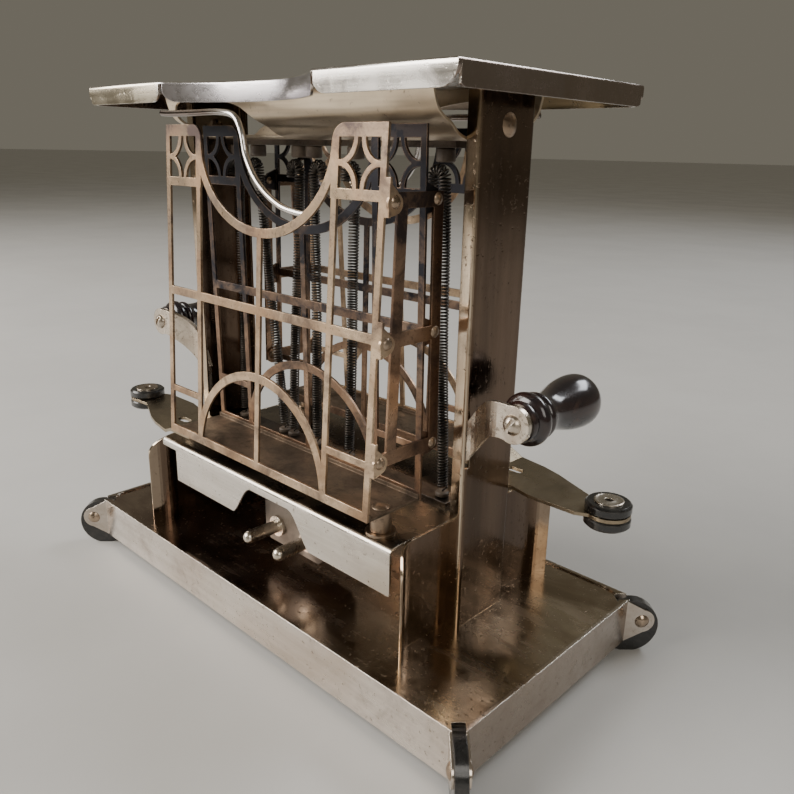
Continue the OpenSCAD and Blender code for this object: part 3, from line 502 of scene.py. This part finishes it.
def revolve(name, profile, centre, axis, steps=64):
    """Body turned about an axis through the centre, from (radius, distance along the axis) points.

    A profile that starts on the axis also ends on it, and any other profile is closed in itself.
    """
    axis = Vector(axis)
    first = axis.orthogonal().normalized()
    second = axis.cross(first)
    rings = []
    vertices = []
    for radius, along in profile:
        if radius == 0:
            rings.append([len(vertices)] * steps)
            vertices.append(Vector(centre) + along * axis)
            continue
        rings.append(list(range(len(vertices), len(vertices) + steps)))
        for k in range(steps):
            angle = 2 * math.pi * k / steps
            vertices.append(Vector(centre) + along * axis
                            + radius * (math.cos(angle) * first + math.sin(angle) * second))
    pairs = list(zip(rings, rings[1:]))
    if profile[0][0] > 0:
        pairs.append((rings[-1], rings[0]))
    faces = []
    for near, far in pairs:
        for k in range(steps):
            following = (k + 1) % steps
            face = []
            for corner in (near[k], near[following], far[following], far[k]):
                if corner not in face:
                    face.append(corner)
            if len(face) > 2:
                faces.append(tuple(face))
    return solid(name, vertices, faces)


def combine(piece, tool, operation):
    """Joins the tool to the piece or cuts it away, and removes the tool."""
    modifier = piece.modifiers.new("combine", "BOOLEAN")
    modifier.object = tool
    modifier.operation = operation
    modifier.solver = "EXACT"
    shaped = bpy.data.meshes.new_from_object(piece.evaluated_get(bpy.context.evaluated_depsgraph_get()))
    piece.modifiers.clear()
    piece.data = shaped
    soften(shaped)
    bpy.data.objects.remove(tool)


def smooth_route(points, steps):
    """Catmull-Rom curve through the points."""
    points = [Vector(point) for point in points]
    last = len(points) - 1
    route = []
    for i in range(last):
        a, b, c, d = points[max(i - 1, 0)], points[i], points[i + 1], points[min(i + 2, last)]
        for j in range(steps):
            t = j / steps
            route.append(0.5 * (2 * b + (c - a) * t + (2 * a - 5 * b + 4 * c - d) * t ** 2
                                + (3 * b - a - 3 * c + d) * t ** 3))
    route.append(points[last])
    return route


def smooth_outline(points, steps):
    """The same curve through the corners of a flat outline."""
    return [(point.x, point.y) for point in smooth_route([(u, v, 0) for u, v in points], steps)]


# Tops and feet of the six heating coils along X, and the way along X in which each top hooks over. These
# sizes and all that follow, up to the floor, are in millimetres.
COIL_TOPS = (-58, -45, -20, -12, 10, 50)
COIL_FEET = (-61, -33, -27, -12, 6.6, 54)
COIL_HOOKS = (-1, -1, -1, 1, -1, -1)
COIL_LOW, COIL_HIGH = (corner[2] for corner in corners("heating_coil_1"))
COIL_RADIUS = 2.0
COIL_PITCH = 1.02
WIRE_RADIUS = 0.34
WIRE_SIDES = 6
TURN_STEPS = 16
# The hook's radius, its tail, the gap over it and how far above the foot the turns start
HOOK_RADIUS = 2.5
HOOK_TAIL = 2.5
HOOK_GAP = 0.3
HOOK_STEPS = 32
TURNS_START = 1.6
LINE_STEP = 0.25
# The wire's straight end: how deep it starts in the insulator, how high it comes out, and how far aside
END_SUNK = 0.4
END_HIGH = 0.6
END_ASIDE = 0.3
# How far a coil's middle line strays sideways and in how long a wave, how unevenly its turns are spread,
# as a share, and by how much each of the two waves is shifted from coil to coil
STRAY = 0.5
STRAY_WAVE = 5
STRAY_SHIFT = 1.7
UNEVEN = 0.006
UNEVEN_SHIFT = 0.37


def coil_centre(number):
    """Middle line of a coil in the plane y = 0: from its foot up, over its hook and down its tail."""
    hook = COIL_HOOKS[number]
    foot = Vector((COIL_FEET[number], 0, COIL_LOW + TURNS_START))
    bend = Vector((COIL_TOPS[number], 0, COIL_HIGH - COIL_RADIUS - HOOK_RADIUS - HOOK_GAP))
    line = []
    steps = int((bend - foot).length / LINE_STEP)
    for k in range(steps):
        share = k / steps
        point = foot.lerp(bend, share)
        wave = math.sin(STRAY_WAVE * share + STRAY_SHIFT * number)
        point.x += STRAY * math.sin(math.pi * share) * wave
        line.append(point)
    middle = bend + Vector((hook * HOOK_RADIUS, 0, 0))
    for k in range(HOOK_STEPS + 1):
        angle = math.pi * k / HOOK_STEPS
        line.append(middle + HOOK_RADIUS * Vector((-hook * math.cos(angle), 0, math.sin(angle))))
    for _ in range(int(HOOK_TAIL / LINE_STEP)):
        line.append(line[-1] + Vector((0, 0, -LINE_STEP)))
    return line


def coil_path(number):
    """Close-wound helix round the coil's middle line, with a straight end down into its insulator."""
    ring = COIL_RADIUS - WIRE_RADIUS
    line = coil_centre(number)
    reach = [0.0]
    for a, b in zip(line, line[1:]):
        reach.append(reach[-1] + (b - a).length)
    path = [Vector((line[0].x, 0, COIL_LOW - END_SUNK)),
            Vector((line[0].x + END_ASIDE * ring, 0, COIL_LOW + END_HIGH))]
    count = int(reach[-1] / COIL_PITCH * TURN_STEPS)
    spot = 0
    for k in range(count + 1):
        share = k / count
        wave = math.sin(2 * math.pi * (2 * share + UNEVEN_SHIFT * number))
        goal = (share + UNEVEN * wave * math.sin(math.pi * share)) * reach[-1]
        while spot < len(line) - 2 and reach[spot + 1] < goal:
            spot += 1
        rest = (goal - reach[spot]) / (reach[spot + 1] - reach[spot])
        along = (line[spot + 1] - line[spot]).normalized()
        across = Vector((-along.z, 0, along.x))
        angle = 2 * math.pi * k / TURN_STEPS
        path.append(line[spot].lerp(line[spot + 1], rest)
                    + ring * (math.sin(angle) * Vector((0, 1, 0)) - math.cos(angle) * across))
    return [point * MM for point in path]


for number in range(len(COIL_TOPS)):
    coil = tube("coil_%d" % (number + 1), coil_path(number), WIRE_RADIUS * MM, WIRE_SIDES)
    dress(coil, "frame", "resistance_wire", "heating_coil_%d" % (number + 1))

# Route of the front basket's spring wire
LATCH_ROUTE = ((-62.5, -30, 185.1), (-56, -30.2, 184.8), (-40, -30.4, 184.8), (-25, -30.6, 184.8),
               (-16, -30.8, 183.4), (-11.6, -31.1, 178.2), (-9, -31.6, 171.2), (-4, -32.3, 164.8),
               (3, -33, 159.8), (12, -34, 156.2), (20, -34.6, 154.9), (26, -34.9, 154.6))
LATCH_STEPS = 8
LATCH_RADIUS = 1.1
LATCH_SIDES = 16

for side, turn in (("front", 1), ("back", -1)):
    route = [Vector((turn * p.x, turn * p.y, p.z)) * MM for p in smooth_route(LATCH_ROUTE, LATCH_STEPS)]
    wire = tube(side + "_spring_wire", route, LATCH_RADIUS * MM, LATCH_SIDES)
    dress(wire, side + "_basket", "bright_wire", side + "_latch_wire")

# The rail is a tray of folded sheet under the plate. At each end its bottom runs on as a tongue, off the
# middle by the end shift, with an upright tab at the web of the post that a rivet goes through.
SHEET = 0.8
RAIL_BOTTOM, PLATE_UNDER = (corner[2] for corner in corners("top_rail"))
WEB = corners("top_rail")[1][0]
RAIL_END = 66.6
TONGUE_HALF = 9
TONGUE_OVERLAP = 1
TAB_HIGH = 10
END_SHIFT = 1.8
RIVET_HIGH = 181.2
RIVET_HOLE = 2.05
BORE_HALF = 4
# Outer profile of one half of the tray as (distance from the middle, height)
RAIL_HALF = ((10.5, RAIL_BOTTOM), (14.5, 178.1), (17.9, 180.7), (21.6, 182.7), (23.9, 185.0), (25.1, 187.8),
             (25.8, 190.4), (26.0, PLATE_UNDER))
# Where the front flank is cut away over the spring wire, as (X, height), and from where to where along Y
CUT_START = 175.5
RAIL_CUT = ((-65.6, CUT_START), (-64.8, 180.0), (-63.4, 184.4), (-61.0, 187.9), (-56.0, 189.4),
            (-48.0, 189.7), (-40.0, 189.5), (-30.0, 188.6), (-22.5, 187.0), (-18.6, 184.7), (-16.4, 181.8),
            (-14.8, 178.9), (-13.0, 176.9), (-11.6, CUT_START))
CUT_REACH = (-40, -12.2)


def inside_of(outer):
    """Inner profile of the tray: the outer one moved in by the sheet's thickness."""
    inner = []
    for i, (u, v) in enumerate(outer):
        before = outer[max(i - 1, 0)]
        after = outer[min(i + 1, len(outer) - 1)]
        along = Vector((after[0] - before[0], after[1] - before[1])).normalized()
        if i == 0:
            along = Vector((1, 0))
        inner.append((u - along.y * SHEET, v + along.x * SHEET))
    inner[-1] = (inner[-1][0], PLATE_UNDER)
    return inner


def mirrored(points):
    """The points on the other side of the middle."""
    return [(-u, v) for u, v in points]


def rail_end(rail, turn):
    """Adds the tongue, the tab and its rivet hole at the right end (turn 1) or the left end (turn -1)."""
    def bottom_block(name, start, end, high):
        low_x, high_x = sorted((turn * start, turn * end))
        low_y, high_y = sorted((turn * (END_SHIFT - TONGUE_HALF), turn * (END_SHIFT + TONGUE_HALF)))
        return block(name, (low_x, low_y, RAIL_BOTTOM), (high_x, high_y, RAIL_BOTTOM + high))

    combine(rail, bottom_block("tongue", RAIL_END - TONGUE_OVERLAP, WEB, SHEET), "UNION")
    combine(rail, bottom_block("tab", WEB - SHEET, WEB, TAB_HIGH), "UNION")
    bore = ((0, -BORE_HALF), (RIVET_HOLE, -BORE_HALF), (RIVET_HOLE, BORE_HALF), (0, BORE_HALF))
    place = (turn * WEB, turn * END_SHIFT, RIVET_HIGH)
    combine(rail, revolve("hole", bore, place, (1, 0, 0), steps=32), "DIFFERENCE")


def rail_mesh():
    """The whole rail, with the cut over the spring wire in its front and, turned, in its back."""
    outer = smooth_outline(RAIL_HALF, steps=6)
    inner = inside_of(outer)
    tray = mirrored(outer)[::-1] + outer + inner[::-1] + mirrored(inner)
    rail = prism("rail", tray, "X", -RAIL_END, RAIL_END)
    for turn in (1, -1):
        rail_end(rail, turn)
        cut = [(turn * u, v) for u, v in smooth_outline(RAIL_CUT, steps=5)]
        low, high = sorted(turn * y for y in CUT_REACH)
        combine(rail, prism("cut", cut, "Y", low, high), "DIFFERENCE")
    return rail


dress(rail_mesh(), "frame", "nickel_sheet", "top_rail")

# The warming plate, from the CAD: height of the flanges' lower edge, half length, half width and height of
# the top. Then half the scoop's width, how near the middle the scoop comes and the fold's radius.
FLANGE_FOOT = corners("top_plate")[0][2]
PLATE_HALF, PLATE_SIDE, PLATE_TOP = corners("top_plate")[1]
WING = 39
SCOOP_REACH = 29.8
SCOOP_STEPS = 40
FOLD = 1.0
# Where the front half's flanges end: X, heading in degrees and radius of the rounded lower corner
ROUND = 5.6
SLIGHT = 3.6
FLANGE_ENDS = ((WING, 0, ROUND), (WING, 140, ROUND), (-WING, 180, ROUND), (-WING, 40, ROUND),
               (PLATE_HALF, 180, ROUND), (PLATE_HALF, 90, SLIGHT), (-PLATE_HALF, 0, SLIGHT),
               (-PLATE_HALF, 90, SLIGHT))


def plate_outline(inset):
    """Outline of the plate, moved in by the inset, with a round scoop in its front and its back."""
    deep = PLATE_SIDE - SCOOP_REACH
    radius = (WING * WING + deep * deep) / (2 * deep)
    centre, ring, edge = SCOOP_REACH + radius, radius + inset, PLATE_SIDE - inset
    sweep = math.acos((centre - edge) / ring)
    arc = []
    for k in range(SCOOP_STEPS + 1):
        angle = math.pi / 2 + sweep - 2 * sweep * k / SCOOP_STEPS
        arc.append((ring * math.cos(angle), ring * math.sin(angle) - centre))
    end = PLATE_HALF - inset
    front = [(-end, -edge)] + arc + [(end, -edge)]
    return front + [(-x, -y) for x, y in front]


def flange_notch(x, y, heading, radius, steps=12):
    """Tool that rounds off the lower corner of a flange that starts at (x, y) and runs to the heading."""
    over, under, half_thick = 0.6, 1, 1.3
    outline = [(-over, FLANGE_FOOT - under), (radius, FLANGE_FOOT - under)]
    for k in range(steps + 1):
        angle = math.pi / 2 * k / steps
        outline.append((radius - radius * math.sin(angle), FLANGE_FOOT + radius - radius * math.cos(angle)))
    outline.append((-over, FLANGE_FOOT + radius))
    tool = prism("notch", outline, "Y", -half_thick, half_thick)
    tool.data.transform(Matrix.Translation(Vector((x, y, 0)) * MM)
                        @ Matrix.Rotation(math.radians(heading), 4, "Z"))
    return tool


def plate_mesh():
    """Flanged plate: rings of its outline from the top round the fold and down to the underside."""
    fold = [math.radians(angle) for angle in (0, 22.5, 45, 67.5, 90)]
    rings = [(FOLD * (1 - math.sin(angle)), PLATE_TOP - FOLD * (1 - math.cos(angle))) for angle in fold]
    rings += [(0, FLANGE_FOOT), (SHEET, FLANGE_FOOT), (SHEET, PLATE_UNDER)]
    vertices = [(x, y, height) for inset, height in rings for x, y in plate_outline(inset)]
    count = len(plate_outline(0))
    faces = [tuple(range(count)), tuple(range(len(vertices) - count, len(vertices)))]
    for upper in range(0, len(vertices) - count, count):
        lower = upper + count
        for k in range(count):
            following = (k + 1) % count
            faces.append((upper + k, upper + following, lower + following, lower + k))
    plate = solid("warming_plate", vertices, faces)
    for x, heading, radius in FLANGE_ENDS:
        combine(plate, flange_notch(x, -PLATE_SIDE, heading, radius), "DIFFERENCE")
        combine(plate, flange_notch(-x, PLATE_SIDE, heading + 180, radius), "DIFFERENCE")
    return plate


dress(plate_mesh(), "frame", "nickel_plate", "top_plate")

# Turned grips: distance from the axis and distance from the washer
GRIP = ((0, 0), (5.9, 0), (6.2, 0.5), (6.2, 1.8), (5.7, 2.4), (6.6, 2.75), (7.5, 3.4), (8.0, 4.3), (8.1, 5.1),
        (7.9, 6.0), (7.3, 6.8), (6.4, 7.3), (6.0, 7.5), (6.6, 7.8), (7.1, 8.4), (7.25, 9.1), (7.1, 9.8),
        (6.6, 10.5), (6.2, 11.2), (5.95, 12.5), (5.9, 14.5), (6.1, 16.5), (6.6, 19.0), (7.3, 21.6),
        (7.95, 24.3), (8.35, 27.0), (8.5, 29.5), (8.4, 31.4), (8.1, 32.8), (7.5, 33.9), (6.8, 34.5),
        (6.3, 34.6), (5.0, 35.0), (2.6, 35.3), (0, 35.4))

for side in ("left", "right"):
    low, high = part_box(side + "_grip")
    centre = [(low[0] + high[0]) / 2 / MM, low[1] / MM, (low[2] + high[2]) / 2 / MM]
    dress(revolve(side + "_handle_grip", GRIP, centre, (0, 1, 0)), "frame", "walnut", side + "_grip")

# Wide dished rim of a rolled eyelet: distance from the axis and height over the button's face
EYELET_RIM = ((1.3, 0.30), (1.55, 0.52), (2.1, 0.46), (3.0, 0.26), (3.9, 0.42), (4.4, 0.58), (4.8, 0.40),
              (4.85, 0.03), (2.0, 0.03))

for side in ("front", "back"):
    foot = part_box(side + "_lower_button")[0][2] / MM
    low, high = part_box(side + "_upper_button")
    head = high[2] / MM
    centre = ((low[0] + high[0]) / 2 / MM, (low[1] + high[1]) / 2 / MM, 0)
    profile = [(r, head + h) for r, h in EYELET_RIM] + [(r, foot - h) for r, h in reversed(EYELET_RIM)]
    eyelet = revolve(side + "_button_eyelet", profile, centre, (0, 0, 1), steps=48)
    dress(eyelet, side + "_basket", "nickel_trim", side + "_eyelet")

# Half the side of the square floor, in metres
FLOOR_HALF = 25
floor_mesh = bpy.data.meshes.new("floor")
floor_corners = [(x * FLOOR_HALF, y * FLOOR_HALF, 0) for x, y in ((-1, -1), (1, -1), (1, 1), (-1, 1))]
floor_mesh.from_pydata(floor_corners, [], [(0, 1, 2, 3)])
floor = new_piece("floor", floor_mesh)
floor.data.materials.append(pale_floor())


def softbox(name, place, target, size, power, colour):
    """Rectangular area light that faces the target, with lengths in metres and power in watts."""
    light = bpy.data.lights.new(name, "AREA")
    light.shape = "RECTANGLE"
    light.size, light.size_y = size
    light.energy = power
    light.color = colour
    lamp = new_piece(name, light)
    lamp.location = place
    lamp.rotation_euler = (Vector(target) - Vector(place)).to_track_quat("-Z", "Y").to_euler()


softbox("key", (-0.9, -1.0, 0.85), (0, 0, 0.08), (1.3, 0.9), 34, (1.0, 0.96, 0.91))
softbox("fill", (1.3, -0.7, 0.9), (0, 0, 0.1), (0.7, 0.9), 6, (1.0, 0.95, 0.88))
softbox("rim", (0.4, 1.3, 1.3), (0, 0, 0.1), (1.0, 0.4), 12, (0.93, 0.96, 1.0))

world = bpy.data.worlds.new("studio")
world.use_nodes = True
background = world.node_tree.nodes["Background"]
background.inputs["Color"].default_value = (0.60, 0.55, 0.44, 1)
background.inputs["Strength"].default_value = 0.26
bpy.context.scene.world = world

# Camera solved from the photograph's straight edges: its turns, its place in metres and its lens
YAW = math.radians(43.49)
PITCH = math.radians(17.86)
ROLL = math.radians(-1.2)
EYE = Vector((0.2083, -0.18633, 0.17349))
SENSOR = 36
FOCAL = 34.606

level_ahead = Vector((-math.sin(YAW), math.cos(YAW), 0))
level_right = Vector((math.cos(YAW), math.sin(YAW), 0))
up = Vector((0, 0, 1))
ahead = level_ahead * math.cos(PITCH) - up * math.sin(PITCH)
down = -(up * math.cos(PITCH) + level_ahead * math.sin(PITCH))
camera_right = level_right * math.cos(ROLL) + down * math.sin(ROLL)
camera_down = -level_right * math.sin(ROLL) + down * math.cos(ROLL)

lens = bpy.data.cameras.new("camera")
lens.sensor_width = SENSOR
lens.lens = FOCAL
lens.clip_start = 0.01
camera = new_piece("camera", lens)
facing = Matrix((camera_right, -camera_down, -ahead)).transposed()
camera.matrix_world = Matrix.Translation(EYE) @ facing.to_4x4()
bpy.context.scene.camera = camera
